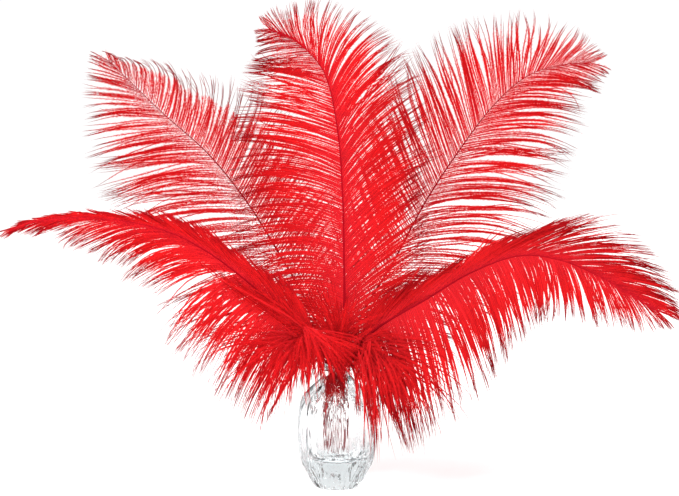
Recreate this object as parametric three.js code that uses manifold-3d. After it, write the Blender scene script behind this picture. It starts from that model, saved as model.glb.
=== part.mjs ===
// Five dyed ostrich plumes standing in a small cut-glass bud vase.
// Millimetres, +Z up. The origin is the centre of the vase's foot, and the bouquet faces -Y.
import * as THREE from "three";
import { mergeVertices } from "three/addons/utils/BufferGeometryUtils.js";
import Module from "manifold-3d";

const wasm = await Module();
wasm.setup();

// ---- Driving dimensions of the vase ----
const VASE_HEIGHT = 106;
const FLUTES = 8; // vertical flat cuts round the body
const FLUTE_TURN = THREE.MathUtils.degToRad(-93); // the ridge that nearly faces -Y
const CAVITY_SIDES = 40;
const MERGE_DISTANCE = 1e-4;
const MID_FLAT = Math.cos(Math.PI / FLUTES); // the middle of a flat cut, as a share of its ridges' radius

// The outside, from foot to rim: height, radius on the flute ridges, radius half way between them.
// Where the middle is the larger one, the cuts form the diamonds of the foot and the shoulder.
const VASE_OUTSIDE = [
  [0, 18.2, 18.2],
  [1.2, 19.6, 19.6],
  [9, 23.4, 25.2],
  [19, 30.4, 28.2],
  [34, 33.8, 33.8 * MID_FLAT],
  [50, 34.4, 34.4 * MID_FLAT],
  [63, 33.9, 33.9 * MID_FLAT],
  [76, 31.4, 25.4],
  [87, 20.6, 18.6],
  [92, 15.6, 15.6],
  [99, 14.4, 14.4],
  [104, 15.6, 15.6],
  [VASE_HEIGHT, 15.0, 15.0],
];

// The cavity, from the middle of its floor to the rim: radius, height.
const CAVITY_FLOOR = 23;
const NECK_BORE = 10.6;
const VASE_CAVITY = [
  [0, CAVITY_FLOOR],
  [14, CAVITY_FLOOR + 0.8],
  [20.5, CAVITY_FLOOR + 4],
  [24.5, 36],
  [26.2, 50],
  [25.4, 64],
  [21.5, 76],
  [14.2, 85],
  [NECK_BORE, 91],
  [NECK_BORE, 101],
  [12.2, VASE_HEIGHT + 1],
];

// ---- Driving dimensions of a plume ----
const QUILL_RADIUS = 1.2; // the bare end, below the vanes
const TIP_RADIUS = 0.35;
const QUILL_STEPS = 5; // straight stretches of the bare quill
const QUILL_GAP = 0.01; // the bare quill ends this share of the vane's length below the vane's foot
const VANE_THICKNESS = 0.7;
const LOCKS = 20; // pointed locks of barbs on each side
const NOTCH = 0.74; // how far out two neighbouring locks part, as a share of their length
const LIFT = 0.03; // every second lock stands this share of its length in front of its neighbours
const RIB_STEPS = 3; // straight stretches from the shaft to a lock's point
const RING_POINTS = 2 * (2 * RIB_STEPS + 3); // points round a row of the vanes, over and under

// Each plume: the route of its shaft from the quill's cut end to its tip, the length of bare quill, which
// way its face looks at the foot and at the tip of the vanes, and its two vanes. A vane's values are
// spaced evenly from the foot of the vane to its tip: the barbs' length, their angle from the shaft in
// degrees, how many degrees they bend back on their way out, how far they droop as a share of their
// length, and how far they curl towards the face.
const PLUMES = {
  feather_low_left: {
    route: [
      [-10.5, -1, 24], [-8.4, -1.2, 64], [-7.4, -2.4, 106], [-28, -14, 136], [-66, -26, 170],
      [-104, -38, 201], [-142, -50, 221], [-190, -62, 231], [-232, -72, 230], [-254, -79, 224],
    ],
    bare: 102,
    face: [[-0.5, -0.75, 0.6], [0, -0.45, 0.9]],
    left: {
      length: [68, 78, 84, 72, 48, 16],
      angle: [92, 48, 27, 19, 14, 8],
      bend: [5, 26, 32, 32, 26, 14],
      droop: [0.36, 0.3, 0.22, 0.18, 0.12, 0.04],
      curl: [0, 0, 0, 0, 0, 0],
    },
    right: {
      length: [60, 62, 54, 40, 30, 14],
      angle: [24, 22, 17, 13, 10, 8],
      bend: [-18, -16, -12, -6, 0, 0],
      droop: [0, 0, 0, 0.03, 0.05, 0.05],
      curl: [0, 0, 0, 0, 0, 0],
    },
  },
  feather_high_left: {
    route: [
      [-6.4, 0.6, 24], [-5.4, 0.6, 64], [-6.5, 5, 106], [-24, 10, 152], [-50, 17, 198], [-80, 25, 245],
      [-113, 31, 285], [-149, 35, 317], [-176, 35, 343], [-198, 31, 365],
    ],
    bare: 90,
    face: [[0, -1, 0], [0.1, -1, 0.1]],
    left: {
      length: [90, 118, 118, 104, 70, 18],
      angle: [60, 58, 52, 46, 38, 14],
      bend: [22, 20, 17, 13, 10, 0],
      droop: [0.14, 0.16, 0.14, 0.1, 0.05, 0],
      curl: [0.05, 0.08, 0.1, 0.1, 0.08, 0],
    },
    right: {
      length: [66, 80, 80, 64, 40, 10],
      angle: [60, 60, 62, 66, 68, 25],
      bend: [10, 10, 5, -10, -30, -20],
      droop: [0, 0, 0, 0, 0, 0],
      curl: [0, 0, 0, 0.05, 0.1, 0.05],
    },
  },
  feather_center: {
    route: [
      [-2.2, 0.6, 24], [-1.2, 0.5, 64], [0.5, 0.8, 106], [6, 1, 150], [6, 3, 193], [5, 5, 244], [1, 4, 300],
      [-10, -1, 350], [-33, -11, 376], [-56, -22, 386],
    ],
    bare: 90,
    face: [[0, -1, 0], [0, -1, 0.2]],
    left: {
      length: [78, 95, 100, 94, 64, 14],
      angle: [60, 62, 62, 60, 52, 20],
      bend: [45, 45, 35, 20, 15, 10],
      droop: [0.2, 0.2, 0.1, 0.05, 0.03, 0],
      curl: [0.05, 0.1, 0.12, 0.12, 0.1, 0],
    },
    right: {
      length: [78, 98, 103, 96, 60, 14],
      angle: [48, 43, 39, 34, 32, 18],
      bend: [10, 14, 22, 32, 28, 8],
      droop: [0.05, 0.05, 0.05, 0.05, 0.03, 0],
      curl: [0.05, 0.1, 0.12, 0.12, 0.1, 0],
    },
  },
  feather_high_right: {
    route: [
      [3, 0.6, 24], [3.2, 0.6, 64], [5.5, 6.6, 106], [22, 16, 146], [49, 28, 190], [78, 38, 243],
      [108, 45, 288], [137, 48, 326], [166, 46, 352], [196, 40, 362], [222, 34, 363],
    ],
    bare: 90,
    face: [[-0.1, -1, 0], [0, -1, 0.1]],
    left: {
      length: [66, 92, 100, 84, 54, 12],
      angle: [54, 56, 56, 54, 48, 18],
      bend: [-4, -8, -8, 0, 6, 5],
      droop: [0, 0, 0, 0, 0, 0],
      curl: [0, 0, 0, 0.05, 0.08, 0],
    },
    right: {
      length: [84, 116, 116, 98, 74, 18],
      angle: [54, 50, 44, 39, 29, 12],
      bend: [28, 33, 34, 30, 28, 12],
      droop: [0.1, 0.1, 0.08, 0.05, 0.03, 0],
      curl: [0.05, 0.08, 0.1, 0.1, 0.08, 0],
    },
  },
  feather_low_right: {
    route: [
      [10, -1, 24], [8.5, -1.2, 64], [7.6, -2.2, 106], [32, -11, 135], [75, -19, 162], [112, -28, 185],
      [149, -38, 199], [182, -47, 196], [213, -54, 183], [242, -60, 166], [258, -64, 156],
    ],
    bare: 100,
    face: [[0.4, -0.75, 0.6], [0.3, -0.6, 0.8]],
    left: {
      length: [60, 70, 82, 92, 68, 20],
      angle: [25, 22, 18, 32, 32, 14],
      bend: [-22, -18, -10, -22, -24, -5],
      droop: [0, 0.03, 0.12, 0.16, 0.1, 0.05],
      curl: [0, 0, 0, 0, 0, 0],
    },
    right: {
      length: [72, 80, 71, 61, 50, 20],
      angle: [100, 82, 75, 66, 44, 12],
      bend: [0, 10, 10, 10, 15, 10],
      droop: [0.34, 0.3, 0.3, 0.25, 0.18, 0.08],
      curl: [0, 0, 0, 0, 0, 0],
    },
  },
};

const DYED_RED = new THREE.MeshStandardMaterial({ color: 0xe0141c, roughness: 0.85, metalness: 0 });
const CRYSTAL = new THREE.MeshStandardMaterial({
  color: 0xf2f6f7, roughness: 0.05, metalness: 0, transparent: true, opacity: 0.35,
});

// ---- Solids ----

// A closed mesh as a solid that can be joined and cut.
function solid(geometry) {
  const bare = geometry.index ? geometry.toNonIndexed() : geometry.clone();
  bare.deleteAttribute("normal");
  bare.deleteAttribute("uv");
  const merged = mergeVertices(bare, MERGE_DISTANCE);
  return new wasm.Manifold(new wasm.Mesh({
    numProp: 3,
    vertProperties: merged.attributes.position.array,
    triVerts: new Uint32Array(merged.index.array),
  }));
}

// A solid as a geometry again.
function geometryOf(body) {
  const mesh = body.getMesh();
  const geometry = new THREE.BufferGeometry();
  geometry.setAttribute("position", new THREE.BufferAttribute(mesh.vertProperties, 3));
  geometry.setIndex(new THREE.BufferAttribute(mesh.triVerts, 1));
  geometry.computeVertexNormals();
  return geometry;
}

function indexed(points, triangles) {
  const geometry = new THREE.BufferGeometry().setFromPoints(points);
  geometry.setIndex(triangles.flat());
  return geometry;
}

// Rings of equally many points, foot first, skinned and closed by a fan at each end. From the point numbered
// underside on, the rings run back under a sheet, and are split the other way so that both sides fold alike.
function skin(rings, underside = rings[0].length) {
  const sides = rings[0].length;
  const points = rings.flat();
  const triangles = [];
  for (let row = 0; row + 1 < rings.length; row++) {
    for (let i = 0; i < sides; i++) {
      const a = row * sides + i;
      const b = row * sides + ((i + 1) % sides);
      if (i < underside) {
        triangles.push([a, b, b + sides], [a, b + sides, a + sides]);
      } else {
        triangles.push([a, b, a + sides], [b, b + sides, a + sides]);
      }
    }
  }
  const last = (rings.length - 1) * sides;
  for (let i = 1; i + 1 < sides; i++) {
    triangles.push([0, i + 1, i], [last, last + i, last + i + 1]);
  }
  return indexed(points, triangles);
}

// ---- The vase ----

function vaseRing([height, ridge, middle]) {
  return Array.from({ length: 2 * FLUTES }, (_, i) => {
    const turn = FLUTE_TURN + (i * Math.PI) / FLUTES;
    const radius = i % 2 ? middle : ridge;
    return new THREE.Vector3(radius * Math.cos(turn), radius * Math.sin(turn), height);
  });
}

function vase() {
  const top = VASE_CAVITY[VASE_CAVITY.length - 1][1];
  const profile = [...VASE_CAVITY, [0, top]].map(([radius, height]) => new THREE.Vector2(radius, height));
  const cavity = new THREE.LatheGeometry(profile, CAVITY_SIDES).rotateX(Math.PI / 2);
  return geometryOf(solid(skin(VASE_OUTSIDE.map(vaseRing))).subtract(solid(cavity)));
}

// ---- A plume ----

function smooth(points) {
  return new THREE.CatmullRomCurve3(points, false, "catmullrom", 0.5);
}

// The value at a share s of the way along evenly spaced values.
function along(values, s) {
  return smooth(values.map((value) => new THREE.Vector3(value, 0, 0))).getPoint(s).x;
}

// Where the shaft is at a share s of the vane, with its direction, its right-hand side and its face.
// Below the vane s is less than 0.
function stand(plume, curve, s) {
  const length = curve.getLength();
  const share = Math.max(0, (plume.bare + (length - plume.bare) * s) / length);
  const direction = curve.getTangentAt(share);
  const [foot, tip] = plume.face.map((f) => new THREE.Vector3(...f));
  const face = foot.lerp(tip, Math.max(0, s)).projectOnPlane(direction).normalize();
  return { s, at: curve.getPointAt(share), direction, side: direction.clone().cross(face), face };
}

// The line of a barb from the shaft to its point. reach shortens it, and lift stands it off the vane.
function rib(vane, hand, place, reach, lift) {
  const length = along(vane.length, place.s) * reach;
  const start = THREE.MathUtils.degToRad(along(vane.angle, place.s));
  const bend = THREE.MathUtils.degToRad(along(vane.bend, place.s)) * reach;
  const droop = along(vane.droop, place.s) * reach * length;
  const curl = (along(vane.curl, place.s) * reach + lift) * length;
  const points = [];
  const run = place.at.clone();
  for (let step = 1; step <= RIB_STEPS; step++) {
    const turn = start + (bend * (step - 0.5)) / RIB_STEPS;
    run.addScaledVector(place.direction, (Math.cos(turn) * length) / RIB_STEPS);
    run.addScaledVector(place.side, (hand * Math.sin(turn) * length) / RIB_STEPS);
    const out = (step / RIB_STEPS) ** 2;
    const sag = new THREE.Vector3(0, 0, -droop * out);
    points.push(run.clone().addScaledVector(place.face, curl * out).add(sag));
  }
  return points;
}

// A row of the vanes before they have any thickness: from the left barbs' points to the right ones'.
function vaneRow(plume, place, radius, reach, lift) {
  const left = rib(plume.left, -1, place, reach, lift).reverse();
  const right = rib(plume.right, 1, place, reach, lift);
  const beside = place.side.clone().multiplyScalar(radius);
  const line = [...left, place.at.clone().sub(beside), place.at.clone().add(beside), ...right];
  return { place, radius, line };
}

// Which way the vanes face at point i of a row: square to the row and to the line up the vane. The shaft
// and the first and last rows face as the shaft does.
function facing(rows, row, i) {
  const { place, line } = rows[row];
  const onShaft = i === RIB_STEPS || i === RIB_STEPS + 1;
  if (onShaft || row === 0 || row === rows.length - 1) {
    return place.face.clone();
  }
  const across = line[Math.min(i + 1, line.length - 1)].clone().sub(line[Math.max(i - 1, 0)]);
  const ahead = rows[row + 1].line[i].clone().sub(rows[row - 1].line[i]);
  return across.cross(ahead).normalize();
}

// The ring of points round a row of the vanes: out along the left barbs, over the shaft, out along the
// right ones, and back underneath.
function vaneRing(rows, row) {
  const { place, radius, line } = rows[row];
  const thin = line.map((_, i) => facing(rows, row, i).multiplyScalar(VANE_THICKNESS / 2));
  const thick = place.face.clone().multiplyScalar(radius);
  const over = line.map((point, i) => point.clone().add(thin[i]));
  const under = line.map((point, i) => point.clone().sub(thin[i]));
  over.splice(RIB_STEPS + 1, 0, place.at.clone().add(thick));
  under.splice(RIB_STEPS + 1, 0, place.at.clone().sub(thick));
  return [...over, ...under.reverse()];
}

// The same number of points round the bare quill, in the same order.
function quillRing(place, radius) {
  return Array.from({ length: RING_POINTS }, (_, i) => {
    const turn = Math.PI - ((i + 0.5) * 2 * Math.PI) / RING_POINTS;
    return place.at.clone()
      .addScaledVector(place.side, radius * Math.cos(turn))
      .addScaledVector(place.face, radius * Math.sin(turn));
  });
}

// A whole plume as one closed skin, from the quill's cut end to the tip of the vanes. The vanes' edge
// runs from the point of each lock to the notch beside it.
function feather(plume) {
  const curve = smooth(plume.route.map((point) => new THREE.Vector3(...point)));
  const cutEnd = -plume.bare / (curve.getLength() - plume.bare);
  const rings = [];
  for (let step = 0; step <= QUILL_STEPS; step++) {
    const s = THREE.MathUtils.lerp(cutEnd, -QUILL_GAP, step / QUILL_STEPS);
    rings.push(quillRing(stand(plume, curve, s), QUILL_RADIUS));
  }
  const rows = [];
  for (let i = 0; i <= 2 * LOCKS; i++) {
    const s = i / (2 * LOCKS);
    const radius = THREE.MathUtils.lerp(QUILL_RADIUS, TIP_RADIUS, Math.sqrt(s));
    const reach = i % 2 ? 1 : NOTCH;
    rows.push(vaneRow(plume, stand(plume, curve, s), radius, reach, i % 4 === 1 ? LIFT : 0));
  }
  return skin([...rings, ...rows.map((_, row) => vaneRing(rows, row))], RING_POINTS / 2);
}

// ---- The object ----

const bouquet = new THREE.Group();
const add = (name, geometry, material) => {
  const mesh = new THREE.Mesh(geometry, material);
  mesh.name = name;
  bouquet.add(mesh);
};

add("vase", vase(), CRYSTAL);
for (const [name, plume] of Object.entries(PLUMES)) {
  add(name, feather(plume), DYED_RED);
}

export default bouquet;
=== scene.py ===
"""Five dyed ostrich plumes standing in a small cut-glass bud vase.

Every plume is a shaft with two vanes. A vane is a row of long separate barbs that gather into strands and
locks on their way out, and each barb is fringed with fine barbules. The vase is clear glass, blown to an
egg shape, cut with flutes and with rings of scooped facets at its shoulder and foot.

Sizes in the tables below are in millimetres and degrees, as they are for the solids. MM turns them into
metres where the meshes are made.
"""

import logging
import math
from dataclasses import dataclass, field
from enum import Enum

import bpy
import numpy as np
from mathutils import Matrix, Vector


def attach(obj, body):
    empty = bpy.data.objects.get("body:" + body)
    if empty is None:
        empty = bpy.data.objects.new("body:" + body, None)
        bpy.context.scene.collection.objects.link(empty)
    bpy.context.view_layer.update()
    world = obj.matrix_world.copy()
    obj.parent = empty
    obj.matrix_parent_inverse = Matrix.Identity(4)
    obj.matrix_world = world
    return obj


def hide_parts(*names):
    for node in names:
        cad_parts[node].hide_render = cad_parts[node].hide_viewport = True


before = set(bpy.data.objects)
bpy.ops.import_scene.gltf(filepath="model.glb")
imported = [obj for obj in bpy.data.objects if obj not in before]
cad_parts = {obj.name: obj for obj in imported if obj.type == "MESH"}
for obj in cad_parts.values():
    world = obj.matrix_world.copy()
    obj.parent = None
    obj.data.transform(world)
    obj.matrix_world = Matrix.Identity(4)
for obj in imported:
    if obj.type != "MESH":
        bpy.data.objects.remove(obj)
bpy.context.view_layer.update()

LOG = logging.getLogger("plumes")
BODY = "root"
MM = 0.001
FULL_TURN = 2 * math.pi
UP = np.array([0, 0, 1.0])

Row = tuple[float, ...]
Place = tuple[float, float, float]
Colour = tuple[float, float, float]


class Face(Enum):
    """What a face of a plume's mesh belongs to. The value is its material's place on the mesh."""

    BARB = 0
    BARBULE = 1
    SHAFT = 2
    WEB = 3


# ---- Curves and meshes ---------------------------------------------------------------------------------


def spline(points: np.ndarray, share: np.ndarray) -> np.ndarray:
    """Reads a smooth curve through evenly numbered points.

    Args:
        points: the points, one row each.
        share: where to read, from 0 at the first point to 1 at the last.

    Returns:
        One row for each share.
    """
    points = np.asarray(points, float)
    if points.ndim == 1:
        return spline(points[:, None], share)[:, 0]
    padded = np.vstack([2 * points[0] - points[1], points, 2 * points[-1] - points[-2]])
    place = np.clip(share, 0, 1) * (len(points) - 1)
    first = np.minimum(place.astype(int), len(points) - 2)
    t = (place - first)[:, None]
    before, start, end, after = (padded[first + i] for i in range(4))
    leave, arrive = (end - before) / 2, (after - start) / 2
    square = (-3 * start + 3 * end - 2 * leave - arrive) * t**2
    return start + leave * t + square + (2 * start - 2 * end + leave + arrive) * t**3


def smoothstep(low: float, high: float, value: np.ndarray) -> np.ndarray:
    """Rises smoothly from 0 at low to 1 at high."""
    t = np.clip((value - low) / (high - low), 0, 1)
    return t * t * (3 - 2 * t)


def unit(vectors: np.ndarray) -> np.ndarray:
    """Scales vectors to a length of 1."""
    return vectors / np.maximum(np.linalg.norm(vectors, axis=-1, keepdims=True), 1e-9)


def square_to(vectors: np.ndarray, axis: np.ndarray) -> np.ndarray:
    """Turns vectors at right angles to unit axes, and scales them to a length of 1."""
    return unit(vectors - (vectors * axis).sum(-1, keepdims=True) * axis)


def mix(a: np.ndarray, b: np.ndarray, share: np.ndarray) -> np.ndarray:
    """Goes from a to b by share."""
    return a + (b - a) * share


def axes_of(line: np.ndarray, face: np.ndarray) -> tuple[np.ndarray, np.ndarray]:
    """Finds the two directions across lines, at each of their points.

    Args:
        line: an array of lines by points by coordinates.
        face: the way that the vane faces at the root of each line.

    Returns:
        The direction square to the vane, and the one that lies in it.
    """
    along = unit(np.gradient(line, axis=1))
    up = square_to(np.repeat(face[:, None, :], line.shape[1], 1), along)
    return up, np.cross(along, up)


def tube_faces(rings: int, sides: int) -> np.ndarray:
    """Numbers the faces round a tube whose points are counted ring by ring.

    Args:
        rings: how many rings of points it has.
        sides: how many points a ring has.

    Returns:
        One row of four corners for each face.
    """
    corner = np.arange(sides)
    following = (corner + 1) % sides
    ring = (np.arange(rings - 1) * sides)[:, None]
    faces = np.stack([ring + corner, ring + sides + corner, ring + sides + following, ring + following], -1)
    return faces.reshape(-1, 4)


def show(name: str, data: bpy.types.ID) -> bpy.types.Object:
    """Makes an object and links it to the scene.

    Args:
        name: the object's name.
        data: its mesh, lamp or camera.

    Returns:
        The new object.
    """
    shown = bpy.data.objects.new(name, data)
    bpy.context.scene.collection.objects.link(shown)
    return shown


@dataclass
class MeshParts:
    """Points and faces gathered for one mesh, in millimetres."""

    points: list[np.ndarray] = field(default_factory=list)
    tones: list[np.ndarray] = field(default_factory=list)
    faces: list[np.ndarray] = field(default_factory=list)
    kinds: list[np.ndarray] = field(default_factory=list)
    count: int = 0

    def add(self, points: np.ndarray, tones: np.ndarray, faces: list[np.ndarray], kind: Face) -> None:
        """Adds a piece of mesh.

        Args:
            points: its points. The last axis holds their coordinates.
            tones: for each point its lock's tone, its share of the way out, and its own tone, each 0 to 1.
            faces: arrays of faces with the same number of corners, which number its own points from 0.
            kind: what its faces belong to.
        """
        self.points.append(points.reshape(-1, 3))
        self.tones.append(tones.reshape(-1, 3))
        for block in faces:
            self.faces.append(block + self.count)
            self.kinds.append(np.full(len(block), kind.value))
        self.count += len(self.points[-1])

    def triangles(self) -> int:
        """Counts the triangles that the faces come to."""
        return sum(len(block) * (block.shape[1] - 2) for block in self.faces)

    def build(self, name: str, materials: list[bpy.types.Material], painted_lighting: float) -> bpy.types.Object:
        """Makes the mesh and links it to the scene.

        Args:
            name: the object's name.
            materials: one for each kind of face, in the order of Face.
            painted_lighting: painted lighting, a brightness that scales the plume's whole colour to stand in
                for how brightly it is lit, kept beside the tones as their alpha.

        Returns:
            The new object.
        """
        mesh = bpy.data.meshes.new(name)
        points = np.vstack(self.points) * MM
        corners = np.concatenate([block.ravel() for block in self.faces])
        sizes = np.concatenate([np.full(len(block), block.shape[1]) for block in self.faces])
        kinds = np.concatenate(self.kinds)
        mesh.vertices.add(len(points))
        mesh.vertices.foreach_set("co", points.astype(np.float32).ravel())
        mesh.loops.add(len(corners))
        mesh.loops.foreach_set("vertex_index", corners.astype(np.int32))
        mesh.polygons.add(len(sizes))
        mesh.polygons.foreach_set("loop_start", (np.cumsum(sizes) - sizes).astype(np.int32))
        mesh.polygons.foreach_set("material_index", kinds.astype(np.int32))
        mesh.polygons.foreach_set("use_smooth", kinds != Face.BARBULE.value)
        tones = np.full((len(points), 4), painted_lighting, np.float32)
        tones[:, :3] = np.vstack(self.tones)
        layer = mesh.color_attributes.new("tone", "FLOAT_COLOR", "POINT")
        layer.data.foreach_set("color", tones.ravel())
        for material in materials:
            mesh.materials.append(material)
        mesh.update(calc_edges=True)
        return show(name, mesh)


# ---- Plumes --------------------------------------------------------------------------------------------


@dataclass(frozen=True)
class Vane:
    """One vane.

    Its rows of values are spaced evenly from the foot of the vane to its tip. They are the barbs' length,
    the angle at which they leave the shaft, the degrees that they bend on their way out, the shares of their
    length that they droop and curl up from the vane, and the degrees that their outer half hooks. The barbs
    are bare over the last share bare_point and lie side by side as a sheet over the first share sheet. They
    have a web that is root_web wide to each side at the shaft and web wide half way out. They get scanty
    beyond full_to, and they part by parting degrees to each side of part_at.
    """

    length: Row
    angle: Row
    bend: Row
    droop: Row = (0, 0, 0, 0, 0, 0)
    curl: Row = (0, 0, 0, 0, 0, 0)
    hook: Row = (0, 0, 0, 0, 0, 0)
    bare_point: float = 0.14
    sheet: float = 0.05
    root_web: float = 0.12
    web: float = 0.36
    full_to: float = 0.72
    part_at: float = 0.0
    parting: float = 0.0


@dataclass(frozen=True)
class Tuft:
    """Loose soft barbs that hang from the foot of a plume.

    They leave the shaft between two shares of its vane along rise, and end near the line through tips. They
    come in to their tips from above by fall, as a share of their length.
    """

    shares: tuple[float, float]
    rise: Place
    tips: tuple[Place, ...]
    count: int
    spread: float = 4.0
    fall: float = 0.3


@dataclass(frozen=True)
class Growth:
    """How barbs differ from the plain line of their vane, one value each."""

    turn: np.ndarray
    stretch: np.ndarray
    lift: np.ndarray
    wave: np.ndarray
    phase: np.ndarray
    hook: np.ndarray

    def plus(self, other: "Growth") -> "Growth":
        """Adds another growth to this one. Their stretches multiply.

        Args:
            other: the growth to add.

        Returns:
            The two together.
        """
        return Growth(
            self.turn + other.turn,
            self.stretch * other.stretch,
            self.lift + other.lift,
            self.wave + other.wave,
            self.phase + other.phase,
            self.hook + other.hook,
        )

    def scaled(self, share: np.ndarray) -> "Growth":
        """Takes a share of this growth.

        Args:
            share: how much of it each barb gets, where 0 leaves a barb as it was.

        Returns:
            The scaled growth.
        """
        return Growth(
            self.turn * share,
            1 + (self.stretch - 1) * share,
            self.lift * share,
            self.wave * share,
            self.phase * share,
            self.hook * share,
        )

    def pick(self, index: np.ndarray) -> "Growth":
        """Reads the values at an index."""
        return Growth(*(getattr(self, name)[index] for name in self.__dataclass_fields__))


@dataclass(frozen=True)
class Scatter:
    """How far barbs, strands or locks stray from the plain line: the spread of each random value."""

    turn: float
    stretch: float
    lift: float
    wave: float
    hook: float

    LEAST_STRETCH = 0.55
    MOST_STRETCH = 1.1

    def draw(self, count: int, rng: np.random.Generator) -> Growth:
        """Draws the growth of some barbs.

        Args:
            count: how many.
            rng: the plume's random numbers.

        Returns:
            Their growth.
        """
        return Growth(
            rng.normal(0, self.turn, count),
            np.clip(rng.normal(1, self.stretch, count), self.LEAST_STRETCH, self.MOST_STRETCH),
            rng.normal(0, self.lift, count),
            rng.normal(0, self.wave, count),
            rng.uniform(0, 1, count),
            rng.normal(0, self.hook, count),
        )


LOCK_SCATTER = Scatter(turn=1.0, stretch=0.04, lift=0.015, wave=2.4, hook=5.0)
STRAND_SCATTER = Scatter(turn=1.4, stretch=0.07, lift=0.02, wave=1.0, hook=4.0)
BARB_SCATTER = Scatter(turn=0.6, stretch=0.08, lift=0.008, wave=0.4, hook=2.5)
STRAY_SCATTER = Scatter(turn=6.0, stretch=0.08, lift=0.04, wave=2.5, hook=14.0)


@dataclass(frozen=True)
class Stand:
    """Places along a shaft: how far up the vane, the point, the direction, the right-hand side, the face."""

    share: np.ndarray
    at: np.ndarray
    direction: np.ndarray
    side: np.ndarray
    face: np.ndarray


@dataclass(frozen=True)
class Barbs:
    """A row of barbs: their lines, and for each the vane's face, how full its fringe is, and its tones."""

    line: np.ndarray
    face: np.ndarray
    fullness: np.ndarray
    lock_tone: np.ndarray
    own_tone: np.ndarray

    def steps(self) -> np.ndarray:
        """Measures each barb from point to point."""
        return np.linalg.norm(np.diff(self.line, axis=1), axis=2)

    def tones(self, share: np.ndarray) -> np.ndarray:
        """Gives the points of the barbs' mesh their tones.

        Args:
            share: the share of the way out of each point of one barb's mesh.

        Returns:
            An array of barbs by points by tones.
        """
        tones = np.empty((len(self.line), len(share), 3))
        tones[:, :, 0] = self.lock_tone[:, None]
        tones[:, :, 1] = share
        tones[:, :, 2] = self.own_tone[:, None]
        return tones


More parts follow.
